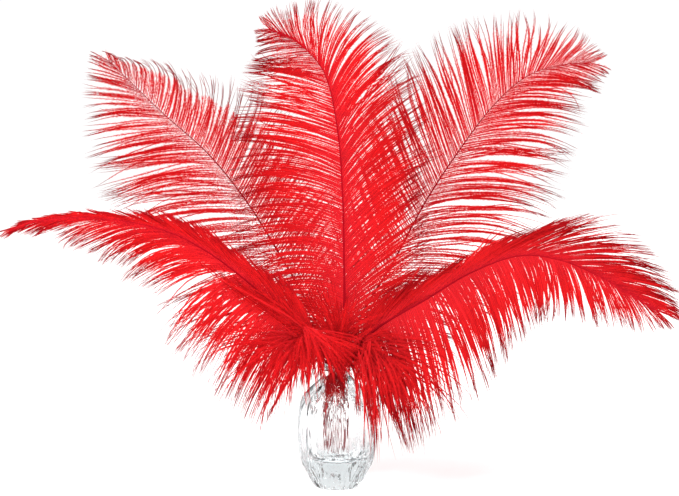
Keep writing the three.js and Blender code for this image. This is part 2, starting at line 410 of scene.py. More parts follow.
@dataclass(frozen=True)
class Plume:
    """One plume.

    Its shaft runs along route, from the quill's cut end to the tip, and is bare over its first millimetres.
    The vanes face one way at their foot and another at the tip. Each vane has count barbs, and shade is
    painted lighting, which scales the whole plume's colour lighter or darker to stand in for how brightly it
    is lit.
    """

    name: str
    node: str
    route: tuple[Place, ...]
    bare: float
    face: tuple[Place, Place]
    left: Vane
    right: Vane
    seed: int
    count: int = 235
    # Painted lighting: the whole plume's colour is scaled lighter or darker for how brightly it is lit.
    painted_lighting: float = 1.0
    tufts: tuple[Tuft, ...] = ()

    # All its faces come to this many triangles. The barbules take what the rest leaves.
    TRIANGLES = 184000

    # The shaft: it narrows to its tip, and to its cut end over the first millimetres.
    SPINE_SAMPLES = 900
    QUILL_RADIUS = 1.15
    QUILL_CUT_RADIUS = 0.7
    CUT_LENGTH = 9
    TIP_RADIUS = 0.22
    FLATNESS = 0.9
    SHAFT_SIDES = 10
    SHAFT_RINGS = 72
    RING_CROWDING = 0.85
    SHAFT_TONE = 0.5

    # The barbs: three-sided tubes. Each stands within ROOM_IN_ROW of its own room in the row. A wave is as
    # high as its growth says on a barb of WAVE_LENGTH. The fringe thins by THINNING to the tip of the vane.
    BARB_STEPS = 9
    BARB_ROOT = 0.24
    BARB_TIP = 0.22
    TAPER = 0.8
    TUBE_TURNS = (math.pi / 2, math.pi * 7 / 6, math.pi * 11 / 6)
    SHORTEST = 3.0
    MOST_STRETCH = 1.03
    MOST_LIFT = 0.07
    PART_REACH = 0.1
    HOOK_FROM = 0.5
    WAVES = 0.9
    WAVE_LENGTH = 80
    ROOM_IN_ROW = (0.15, 0.85)
    THINNING = 0.7

    # How barbs gather into strands, and strands into locks. Their points come apart a little.
    LOCK_WIDTH = 14.0
    FEWEST_LOCKS = 4
    LOCK_SHIFT = 0.42
    LOCK_PULL = 0.05
    LOCK_PULL_FROM = 0.3
    MOST_LOCK_PULL = 0.9
    BARBS_IN_STRAND = 2.3
    STRAND_PULL = 0.66
    STRAND_PULLS = (0.7, 1.25)
    MOST_STRAND_PULL = 0.97
    GATHER_OVER = 0.6
    LOOSE_FROM = 0.75
    LOOSENESS = 0.12
    STRAYS = 0.06

    # The tufts: how much their barbs differ in place, length, first direction and fall.
    TUFT_PLACES = 0.02
    TUFT_OWN_SPREAD = 0.3
    TUFT_LENGTHS = (0.7, 1.08)
    TUFT_RISES = 0.12
    TUFT_RISE_SHARE = 0.4
    TUFT_FALLS = (0.5, 1.3)
    TUFT_FULLNESS = 0.8

    # The webs: they widen over the barb's first part, and narrow towards its bare point.
    WEB_WIDE_AT = 0.4
    WEB_NARROWING = 0.95
    WEB_NARROWS_FROM = 0.8
    WEB_NARROWS_TO = 1.05
    BARE_POINT_LEAD = 1.6

    # The barbules: angles in degrees and lengths, from the shaft outwards, and their random spreads.
    BARBULE_WIDTH = 0.42
    BARBULE_PLACES = (1.3, 1.15)
    BARBULE_ANGLES = (46, 24)
    BARBULE_ANGLE_SPREAD = 8
    BARBULE_ROLL_SPREAD = 0.6
    BARBULE_LENGTHS = (1.9, 2.9)
    BARBULE_LONG_AT = 0.5
    BARBULE_SHORTENING = 0.75
    BARBULE_LENGTH_SPREAD = (0.65, 1.3)

    def spine(self) -> tuple[np.ndarray, np.ndarray]:
        """Draws the shaft's line.

        Returns:
            Its points, finely spaced, and each one's distance along it.
        """
        points = spline(np.array(self.route), np.linspace(0, 1, self.SPINE_SAMPLES))
        steps = np.linalg.norm(np.diff(points, axis=0), axis=1)
        return points, np.concatenate([[0], np.cumsum(steps)])

    def stand(self, share: np.ndarray) -> Stand:
        """Finds places along the shaft.

        Args:
            share: how far up the vane each place is. Below 0 it is on the bare quill.

        Returns:
            The places, with the vane's own directions there.
        """
        points, run = self.spine()
        distance = np.clip(self.bare + (run[-1] - self.bare) * share, 0, run[-1])
        directions = unit(np.gradient(points, run, axis=0))
        at = np.stack([np.interp(distance, run, points[:, i]) for i in range(3)], -1)
        direction = unit(np.stack([np.interp(distance, run, directions[:, i]) for i in range(3)], -1))
        foot, tip = (np.array(f, float) for f in self.face)
        face = square_to(mix(foot, tip, np.clip(share, 0, 1)[:, None]), direction)
        return Stand(share, at, direction, np.cross(direction, face), face)

    def grow(self, vane: Vane, hand: int, stand: Stand, growth: Growth) -> np.ndarray:
        """Draws the lines of barbs.

        Args:
            vane: the vane that they grow in.
            hand: 1 for the right-hand vane and -1 for the left-hand one.
            stand: where each barb is rooted.
            growth: how each differs from the plain line.

        Returns:
            An array of barbs by points by coordinates.
        """
        keys = (vane.length, vane.angle, vane.bend, vane.droop, vane.curl, vane.hook)
        length, angle, bend, droop, curl, hook = (spline(np.array(k), stand.share) for k in keys)
        length = np.maximum(length * np.minimum(growth.stretch, self.MOST_STRETCH), self.SHORTEST)
        from_part = vane.part_at - stand.share
        angle = angle + vane.parting * np.sign(from_part) * np.exp(-np.abs(from_part) / self.PART_REACH)
        u = np.linspace(0, 1, self.BARB_STEPS + 1)[None, :]
        middle = (u[:, 1:] + u[:, :-1]) / 2
        turn = (angle + growth.turn)[:, None] + bend[:, None] * middle
        turn = np.radians(turn + (hook + growth.hook)[:, None] * smoothstep(self.HOOK_FROM, 1.0, middle))
        step = (length / self.BARB_STEPS)[:, None, None]
        ahead = np.cos(turn)[:, :, None] * stand.direction[:, None, :]
        aside = hand * np.sin(turn)[:, :, None] * stand.side[:, None, :]
        run = np.cumsum((ahead + aside) * step, axis=1)
        line = stand.at[:, None, :] + np.concatenate([np.zeros_like(run[:, :1]), run], axis=1)
        out = (u**2)[:, :, None]
        lift = np.clip(growth.lift, -self.MOST_LIFT, self.MOST_LIFT)
        line = line + stand.face[:, None, :] * out * ((curl + lift) * length)[:, None, None]
        line = line - UP * out * (droop * length)[:, None, None]
        sway = growth.wave[:, None] * np.sin(FULL_TURN * (self.WAVES * u + growth.phase[:, None])) * u
        _, across = axes_of(line, stand.face)
        return line + across * sway[:, :, None] * (length / self.WAVE_LENGTH)[:, None, None]

    def strands(self, count: int, rng: np.random.Generator) -> np.ndarray:
        """Deals barbs out to strands, in their order.

        Args:
            count: how many barbs.
            rng: the plume's random numbers.

        Returns:
            The number of each barb's strand.
        """
        return np.cumsum(rng.uniform(0, 1, count) < 1 / self.BARBS_IN_STRAND)

    def barbs(self, vane: Vane, hand: int, rng: np.random.Generator) -> Barbs:
        """Grows the barbs of one vane and gathers them into strands and locks.

        Args:
            vane: the vane.
            hand: 1 for the right-hand vane and -1 for the left-hand one.
            rng: the plume's random numbers.

        Returns:
            The barbs.
        """
        share = (np.arange(self.count) + rng.uniform(*self.ROOM_IN_ROW, self.count)) / self.count
        strand = self.strands(self.count, rng)
        _, run = self.spine()
        locks = max(self.FEWEST_LOCKS, round((run[-1] - self.bare) / self.LOCK_WIDTH))
        shifts = rng.uniform(-self.LOCK_SHIFT, self.LOCK_SHIFT, locks - 1)
        edges = np.sort((np.arange(1, locks) + shifts) / locks)
        strands = strand[-1] + 1
        in_strand = np.maximum(np.bincount(strand, minlength=strands), 1)
        strand_share = np.bincount(strand, share, strands) / in_strand
        lock = np.searchsorted(edges, strand_share)
        lock_share = (np.concatenate([[0], edges]) + np.concatenate([edges, [1]])) / 2

        of_lock = LOCK_SCATTER.draw(locks, rng)
        strays = STRAY_SCATTER.draw(self.count, rng)
        stray = rng.uniform(0, 1, self.count) < self.STRAYS
        of_strand = of_lock.pick(lock).plus(STRAND_SCATTER.draw(strands, rng))
        of_barb = of_strand.pick(strand).plus(BARB_SCATTER.draw(self.count, rng))
        of_barb = of_barb.plus(strays.scaled(stray))
        lock_line = self.grow(vane, hand, self.stand(lock_share), of_lock)
        strand_line = self.grow(vane, hand, self.stand(strand_share), of_strand)
        stand = self.stand(share)
        line = self.grow(vane, hand, stand, of_barb)

        u = np.linspace(0, 1, self.BARB_STEPS + 1)[None, :, None]
        pull = self.LOCK_PULL * smoothstep(self.LOCK_PULL_FROM, 1.0, u)
        pull = pull * rng.uniform(0.0, 2.0, strands)[:, None, None]
        strand_line = mix(strand_line, lock_line[lock], np.clip(pull, 0, self.MOST_LOCK_PULL))
        gather = smoothstep(vane.sheet, vane.sheet + self.GATHER_OVER, u)
        gather = gather * (1 - self.LOOSENESS * smoothstep(self.LOOSE_FROM, 1.0, u))
        hold = (self.STRAND_PULL * rng.uniform(*self.STRAND_PULLS, self.count) * ~stray)[:, None, None]
        hold = np.clip(hold * gather, 0, self.MOST_STRAND_PULL)
        line[:, 1:] = mix(line, strand_line[strand], hold)[:, 1:]
        return Barbs(
            line=line,
            face=stand.face,
            fullness=1 - self.THINNING * smoothstep(vane.full_to, 1.0, share),
            lock_tone=rng.uniform(0, 1, locks)[lock][strand],
            own_tone=rng.uniform(0, 1, self.count),
        )

    def hang(self, tuft: Tuft, rng: np.random.Generator) -> Barbs:
        """Grows the barbs of a tuft.

        Args:
            tuft: the tuft.
            rng: the plume's random numbers.

        Returns:
            The barbs.
        """
        strand = self.strands(tuft.count, rng)
        strands = strand[-1] + 1
        place = rng.uniform(0, 1, strands)
        own = np.clip(place[strand] + rng.normal(0, self.TUFT_PLACES, tuft.count), 0, 1)
        stand = self.stand(mix(*tuft.shares, rng.uniform(0, 1, tuft.count)))
        tip = spline(np.array(tuft.tips), own) + rng.normal(0, tuft.spread, (strands, 3))[strand]
        tip += rng.normal(0, tuft.spread * self.TUFT_OWN_SPREAD, (tuft.count, 3))
        reach = np.linalg.norm(tip - stand.at, axis=1)[:, None]
        tip = mix(stand.at, tip, rng.uniform(*self.TUFT_LENGTHS, tuft.count)[:, None])
        rise = unit(np.array(tuft.rise) + rng.normal(0, self.TUFT_RISES, (tuft.count, 3)))
        set_off = stand.at + rise * reach * self.TUFT_RISE_SHARE
        come_in = tip + UP * reach * tuft.fall * rng.uniform(*self.TUFT_FALLS, tuft.count)[:, None]
        u = np.linspace(0, 1, self.BARB_STEPS + 1)[None, :, None]
        shares = ((1 - u) ** 3, 3 * u * (1 - u) ** 2, 3 * u**2 * (1 - u), u**3)
        knots = (stand.at, set_off, come_in, tip)
        return Barbs(
            line=sum(share * knot[:, None, :] for share, knot in zip(shares, knots)),
            face=stand.face,
            fullness=np.full(tuft.count, self.TUFT_FULLNESS),
            lock_tone=rng.uniform(0, 1, strands)[strand],
            own_tone=rng.uniform(0, 1, tuft.count),
        )

    def add_tubes(self, parts: MeshParts, barbs: Barbs) -> None:
        """Adds the barbs themselves, as thin three-sided tubes that come to a point.

        Args:
            parts: the mesh that they are added to.
            barbs: the barbs.
        """
        line = barbs.line
        count, rings = line.shape[0], line.shape[1] - 1
        up, across = axes_of(line, barbs.face)
        u = np.linspace(0, 1, rings + 1)
        radius = mix(self.BARB_ROOT, self.BARB_TIP, u**self.TAPER)[None, :, None]
        turned = (math.sin(turn) * up + math.cos(turn) * across for turn in self.TUBE_TURNS)
        corners = [line + radius * way for way in turned]
        points = np.stack(corners, 2)[:, :rings].reshape(count, rings * 3, 3)
        points = np.concatenate([points, line[:, -1:]], axis=1)
        size = rings * 3 + 1
        ends = np.array([[size - 4 + (i + 1) % 3, size - 4 + i, size - 1] for i in range(3)])
        shift = (np.arange(count) * size)[:, None, None]
        faces = [(block + shift).reshape(-1, block.shape[1]) for block in (tube_faces(rings, 3), ends)]
        parts.add(points, barbs.tones(np.append(np.repeat(u[:rings], 3), 1)), faces, Face.BARB)

    def add_webs(self, parts: MeshParts, barbs: Barbs, vane: Vane) -> None:
        """Adds the close inner fringe of each barb, as a thin web on both sides of it.

        Args:
            parts: the mesh that it is added to.
            barbs: the barbs that carry it.
            vane: the barbs' vane.
        """
        line = barbs.line
        count, rings = line.shape[:2]
        _, across = axes_of(line, barbs.face)
        u = np.linspace(0, 1, rings)
        half = mix(vane.root_web, vane.web, smoothstep(0.0, self.WEB_WIDE_AT, u))
        narrow_from = self.WEB_NARROWS_FROM - self.BARE_POINT_LEAD * vane.bare_point
        narrow_to = self.WEB_NARROWS_TO - vane.bare_point
        half = half * (1 - self.WEB_NARROWING * smoothstep(narrow_from, narrow_to, u))
        half = half[None, :, None] * barbs.fullness[:, None, None]
        points = np.stack([line - across * half, line + across * half], 2)
        shift = (np.arange(count) * rings * 2)[:, None, None]
        quads = np.array([[r * 2, r * 2 + 1, r * 2 + 3, r * 2 + 2] for r in range(rings - 1)])
        parts.add(points, barbs.tones(np.repeat(u, 2)), [(quads + shift).reshape(-1, 4)], Face.WEB)

    def add_barbules(
        self, parts: MeshParts, barbs: Barbs, vane: Vane, count: int, rng: np.random.Generator
    ) -> None:
        """Adds the fine fringe on both sides of each barb.

        Args:
            parts: the mesh that it is added to.
            barbs: the barbs that carry it.
            vane: the barbs' vane.
            count: how many barbules.
            rng: the plume's random numbers.
        """
        line = barbs.line
        steps = line.shape[1] - 1
        carried = barbs.steps().sum(1) * barbs.fullness
        barb = rng.choice(len(line), count, p=carried / carried.sum())
        u = rng.beta(*self.BARBULE_PLACES, count) * (1 - vane.bare_point)
        place = u * steps
        first = np.minimum(place.astype(int), steps - 1)
        t = (place - first)[:, None]
        start, end = line[barb, first], line[barb, first + 1]
        root = mix(start, end, t)
        along = unit(end - start)
        up = square_to(barbs.face[barb], along)
        across = np.cross(along, up) * rng.choice([-1.0, 1.0], count)[:, None]
        angle = mix(*self.BARBULE_ANGLES, u) + rng.normal(0, self.BARBULE_ANGLE_SPREAD, count)
        spread = np.radians(angle)[:, None]
        roll = rng.normal(0, self.BARBULE_ROLL_SPREAD, count)[:, None]
        out = np.cos(roll) * across + np.sin(roll) * up
        way = np.cos(spread) * along + np.sin(spread) * out
        length = mix(*self.BARBULE_LENGTHS, smoothstep(0.0, self.BARBULE_LONG_AT, u))
        length = length * (1 - self.BARBULE_SHORTENING * smoothstep(self.BARBULE_LONG_AT, 1.0, u))
        length = (length * rng.uniform(*self.BARBULE_LENGTH_SPREAD, count))[:, None]
        half = along * self.BARBULE_WIDTH / 2
        points = np.stack([root - half, root + half, root + way * length], axis=1)
        tones = np.empty((count, 3, 3))
        tones[:, :, 0] = barbs.lock_tone[barb][:, None]
        tones[:, :, 1] = u[:, None]
        tones[:, :, 2] = rng.uniform(0, 1, count)[:, None]
        parts.add(points, tones, [np.arange(count * 3).reshape(-1, 3)], Face.BARBULE)

    def add_shaft(self, parts: MeshParts) -> None:
        """Adds the quill and shaft, closed at both ends.

        Args:
            parts: the mesh that they are added to.
        """
        _, run = self.spine()
        rings, sides = self.SHAFT_RINGS, self.SHAFT_SIDES
        distance = run[-1] * np.linspace(0, 1, rings) ** self.RING_CROWDING
        cut = -self.bare / (run[-1] - self.bare)
        share = mix(cut, 1.0, distance / run[-1])
        stand = self.stand(share)
        thin = mix(self.QUILL_RADIUS, self.TIP_RADIUS, np.clip(share, 0, 1) ** self.TAPER)
        widened = np.clip(distance / self.CUT_LENGTH, 0, 1)
        radius = np.minimum(thin, mix(self.QUILL_CUT_RADIUS, self.QUILL_RADIUS, widened))
        turn = np.linspace(0, FULL_TURN, sides, endpoint=False)[None, :, None]
        ring = np.cos(turn) * stand.side[:, None, :] + self.FLATNESS * np.sin(turn) * stand.face[:, None, :]
        points = stand.at[:, None, :] + radius[:, None, None] * ring
        last = (rings - 1) * sides
        caps = np.array([list(range(sides)), [last + i for i in reversed(range(sides))]])
        tones = np.zeros((rings, sides, 3))
        tones[:, :, 0] = self.SHAFT_TONE
        tones[:, :, 1] = np.clip(share, 0, 1)[:, None]
        tones[:, :, 2] = np.clip(-share, 0, 1)[:, None]
        parts.add(points, tones, [tube_faces(rings, sides), caps], Face.SHAFT)

    def build(self, materials: list[bpy.types.Material]) -> bpy.types.Object:
        """Makes the whole plume as one object that stands for its solid.

        Args:
            materials: the plume's finishes, in the order of Face.

        Returns:
            The new object, riding on the body.
        """
        rng = np.random.default_rng(self.seed)
        parts = MeshParts()
        self.add_shaft(parts)
        rows = [(vane, self.barbs(vane, hand, rng)) for vane, hand in ((self.left, -1), (self.right, 1))]
        rows += [(self.left, self.hang(tuft, rng)) for tuft in self.tufts]
        for vane, barbs in rows:
            self.add_tubes(parts, barbs)
            self.add_webs(parts, barbs, vane)
        reach = [barbs.steps().sum() for _, barbs in rows]
        room = self.TRIANGLES - parts.triangles()
        for (vane, barbs), own in zip(rows, reach, strict=True):
            self.add_barbules(parts, barbs, vane, int(room * own / sum(reach)), rng)
        piece = parts.build(self.name, materials, self.painted_lighting)
        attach(piece, BODY)
        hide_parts(self.node)
        LOG.info("%s: %d triangles", self.name, parts.triangles())
        return piece


LOW_LEFT = Plume(
    name="plume_low_left",
    node="feather_low_left",
    route=(
        (-10.5, -1, 24), (-8.4, -1.2, 64), (-7.4, -2.4, 106), (-28, -14, 136), (-66, -26, 170),
        (-104, -38, 201), (-142, -50, 221), (-190, -62, 231), (-232, -72, 230), (-254, -79, 224),
    ),
    bare=102,
    face=((-0.5, -0.75, 0.6), (0, -0.45, 0.9)),
    left=Vane(
        length=(68, 78, 84, 72, 48, 16),
        angle=(98, 60, 28, 18, 12, 8),
        bend=(5, 26, 32, 32, 26, 14),
        droop=(0.36, 0.3, 0.22, 0.18, 0.12, 0.04),
        full_to=0.38,
        part_at=0.33,
        parting=11.0,
        sheet=0.4,
        root_web=0.42,
        web=0.52,
    ),
    right=Vane(
        length=(60, 62, 54, 40, 30, 14),
        angle=(24, 22, 17, 13, 10, 8),
        bend=(-18, -16, -12, -6, 0, 0),
        droop=(0, 0, 0, 0.03, 0.05, 0.05),
        sheet=0.6,
        root_web=0.42,
        web=0.5,
        bare_point=0.05,
    ),
    seed=11,
    count=440,
    painted_lighting=1.07,
    tufts=(
        Tuft(
            shares=(-0.03, 0.03),
            rise=(-0.8, -0.5, 0.25),
            tips=((-134, -52, 118), (-104, -52, 98), (-78, -50, 60), (-54, -48, 56), (-36, -46, 84)),
            count=90,
        ),
        Tuft(
            shares=(-0.1, 0.03),
            rise=(-0.5, -0.5, 0.7),
            tips=((-112, -42, 196), (-92, -38, 190), (-74, -34, 180), (-56, -30, 172), (-40, -26, 166)),
            count=90,
            spread=2.0,
            fall=-0.12,
        ),
        Tuft(
            shares=(-0.02, 0.08),
            rise=(0.3, -0.8, 0.1),
            tips=(
                (-26, -28, 100), (-18, -27, 92), (-12, -26, 87), (-4, -26, 82), (5, -25, 82), (14, -24, 89),
                (23, -23, 102), (30, -21, 116),
            ),
            count=110,
            spread=2.0,
        ),
        Tuft(
            shares=(-0.03, 0.05),
            rise=(-0.6, -0.7, 0.4),
            tips=((-40, -30, 134), (-36, -34, 100), (-31, -35, 84), (-23, -34, 76), (-15, -32, 84)),
            count=80,
            spread=3.0,
        ),
    ),
)
HIGH_LEFT = Plume(
    name="plume_high_left",
    node="feather_high_left",
    route=(
        (-6.4, 0.6, 24), (-5.4, 0.6, 64), (-6.5, 5, 106), (-24, 10, 152), (-50, 17, 198), (-80, 25, 245),
        (-113, 31, 285), (-149, 35, 317), (-176, 35, 343), (-198, 31, 365),
    ),
    bare=90,
    face=((0, -1, 0), (0.1, -1, 0.1)),
    left=Vane(
        length=(90, 118, 118, 104, 70, 18),
        angle=(60, 58, 52, 46, 38, 14),
        bend=(22, 20, 17, 13, 10, 0),
        droop=(0.14, 0.16, 0.14, 0.1, 0.05, 0),
        curl=(0.05, 0.08, 0.1, 0.1, 0.08, 0),
        root_web=0.18,
    ),
    right=Vane(
        length=(66, 84, 90, 76, 48, 12),
        angle=(60, 60, 62, 66, 68, 25),
        bend=(10, 10, 5, -10, -30, -20),
        curl=(0, 0, 0, 0.05, 0.1, 0.05),
        hook=(0, 4, 12, -8, -45, -60),
        bare_point=0.36,
        sheet=0.15,
        root_web=0.34,
        web=0.44,
    ),
    seed=23,
    painted_lighting=0.87,
)
CENTER = Plume(
    name="plume_center",
    node="feather_center",
    route=(
        (-2.2, 0.6, 24), (-1.2, 0.5, 64), (0.5, 0.8, 106), (6, 1, 150), (6, 3, 193), (5, 5, 244),
        (1, 4, 300), (-10, -1, 350), (-33, -11, 376), (-56, -22, 386),
    ),
    bare=90,
    face=((0, -1, 0), (0, -1, 0.2)),
    left=Vane(
        length=(78, 95, 100, 94, 64, 14),
        angle=(60, 62, 62, 60, 52, 20),
        bend=(45, 45, 35, 20, 15, 10),
        droop=(0.2, 0.2, 0.1, 0.05, 0.03, 0),
        curl=(0.05, 0.1, 0.12, 0.12, 0.1, 0),
        sheet=0.3,
        full_to=0.6,
        root_web=0.36,
        web=0.44,
    ),
    right=Vane(
        length=(78, 98, 103, 96, 60, 14),
        angle=(48, 43, 39, 34, 32, 18),
        bend=(10, 14, 22, 32, 28, 8),
        droop=(0.05, 0.05, 0.05, 0.05, 0.03, 0),
        curl=(0.05, 0.1, 0.12, 0.12, 0.1, 0),
        sheet=0.35,
        root_web=0.4,
        web=0.46,
    ),
    seed=37,
    count=440,
    painted_lighting=1.06,
    tufts=(
        Tuft(
            shares=(-0.04, 0.06),
            rise=(0.1, -0.5, 0.8),
            tips=((-46, -14, 142), (-26, -20, 168), (0, -22, 178), (28, -20, 168), (50, -14, 142)),
            count=70,
            fall=-0.2,
        ),
        Tuft(
            shares=(-0.03, 0.05),
            rise=(0.0, -0.1, 0.05),
            tips=((-8.6, 3, 90), (-7.6, -4, 87), (-3, -8, 85), (3, -8, 85), (7.6, -4, 87), (8.6, 3, 90)),
            count=110,
            spread=0.6,
        ),
        Tuft(
            shares=(-0.07, 0.0),
            rise=(0.0, -0.1, -0.2),
            tips=((-15, -4, 74), (-12, -11, 63), (-5, -15, 62), (3, -14, 68), (11, -8, 76)),
            count=100,
            spread=1.2,
        ),
    ),
)
HIGH_RIGHT = Plume(
    name="plume_high_right",
    node="feather_high_right",
    route=(
        (3, 0.6, 24), (3.2, 0.6, 64), (5.5, 6.6, 106), (22, 16, 146), (49, 28, 190), (78, 38, 243),
        (108, 45, 288), (137, 48, 326), (166, 46, 352), (196, 40, 362), (222, 34, 363),
    ),
    bare=90,
    face=((-0.1, -1, 0), (0, -1, 0.1)),
    left=Vane(
        length=(66, 97, 111, 97, 64, 15),
        angle=(54, 56, 56, 54, 48, 18),
        bend=(-4, -8, -8, 0, 6, 5),
        curl=(0, 0, 0, 0.05, 0.08, 0),
        sheet=0.15,
        root_web=0.34,
        web=0.46,
        full_to=0.85,
    ),
    right=Vane(
        length=(84, 116, 116, 98, 74, 18),
        angle=(54, 50, 44, 39, 29, 12),
        bend=(28, 33, 34, 30, 28, 12),
        droop=(0.1, 0.1, 0.08, 0.05, 0.03, 0),
        curl=(0.05, 0.08, 0.1, 0.1, 0.08, 0),
        root_web=0.28,
        web=0.42,
    ),
    seed=41,
    count=290,
    painted_lighting=0.89,
)
LOW_RIGHT = Plume(
    name="plume_low_right",
    node="feather_low_right",
    route=(
        (10, -1, 24), (8.5, -1.2, 64), (7.6, -2.2, 106), (32, -11, 135), (75, -19, 162), (112, -28, 185),
        (149, -38, 199), (182, -47, 196), (213, -54, 183), (242, -60, 166), (258, -64, 156),
    ),
    bare=100,
    face=((0.4, -0.75, 0.6), (0.3, -0.6, 0.8)),
    left=Vane(
        length=(60, 70, 84, 98, 74, 22),
        angle=(25, 22, 15, 30, 38, 20),
        bend=(-22, -18, -12, -12, -16, -5),
        droop=(0, 0.03, 0.09, 0.08, 0.04, 0.03),
        hook=(0, 0, 0, -14, -18, -8),
        full_to=0.9,
        sheet=0.65,
        root_web=0.46,
        web=0.62,
    ),
    right=Vane(
        length=(76, 86, 74, 61, 50, 20),
        angle=(102, 92, 80, 67, 44, 12),
        bend=(0, 10, 10, 10, 15, 10),
        droop=(0.34, 0.3, 0.3, 0.25, 0.18, 0.08),
        sheet=0.4,
        root_web=0.45,
        web=0.6,
    ),
    seed=59,
    count=440,
    painted_lighting=0.9,
    tufts=(
        Tuft(
            shares=(-0.06, 0.01),
            rise=(0.75, -0.55, 0.25),
            tips=((120, -52, 90), (88, -52, 52), (66, -50, 44), (48, -48, 46), (34, -46, 48)),
            count=90,
        ),
        Tuft(
            shares=(-0.07, 0.0),
            rise=(0.4, -0.8, 0.2),
            tips=((36, -44, 40), (28, -43, 34), (20, -42, 56), (14, -38, 84)),
            count=44,
            spread=2.5,
        ),
        Tuft(
            shares=(-0.03, 0.05),
            rise=(0.6, -0.7, 0.4),
            tips=((14, -26, 92), (26, -30, 98), (40, -32, 108), (50, -30, 132)),
            count=60,
            spread=3.0,
        ),
        Tuft(
            shares=(-0.05, 0.04),
            rise=(-0.4, -0.8, 0.4),
            tips=((20, -20, 100), (12, -21, 92), (2, -21, 90), (-8, -21, 98)),
            count=50,
            spread=2.0,
        ),
    ),
)


# ---- The vase ------------------------------------------------------------------------------------------


@dataclass(frozen=True)
class Scoop:
    """A ring of cuts made with a rounded wheel, one to each flute.

    Its turn says where a cut stands, as a share of a flute. A cut runs between two places, low and high, each
    given as height and radius. It bulges out half way up, and it is hollow from side to side.
    """

    turn: float
    low: tuple[float, float]
    high: tuple[float, float]
    bulge: float
    hollow: float

    RUN_OUT = 0.25
    UNCUT = 1e3

    def radius(self, height: np.ndarray, off: np.ndarray) -> np.ndarray:
        """Finds how far out the cut glass reaches.

        Args:
            height: heights, in millimetres.
            off: distance sideways from the middle of the nearest cut, in millimetres.

        Returns:
            The radius, which is large where the wheel doesn't reach.
        """
        (z0, r0), (z1, r1) = self.low, self.high
        t = (height - z0) / (z1 - z0)
        reach = r0 + (r1 - r0) * t + 4 * self.bulge * t * (1 - t) + self.hollow * off**2
        return np.where((t > -self.RUN_OUT) & (t < 1 + self.RUN_OUT), reach, self.UNCUT)


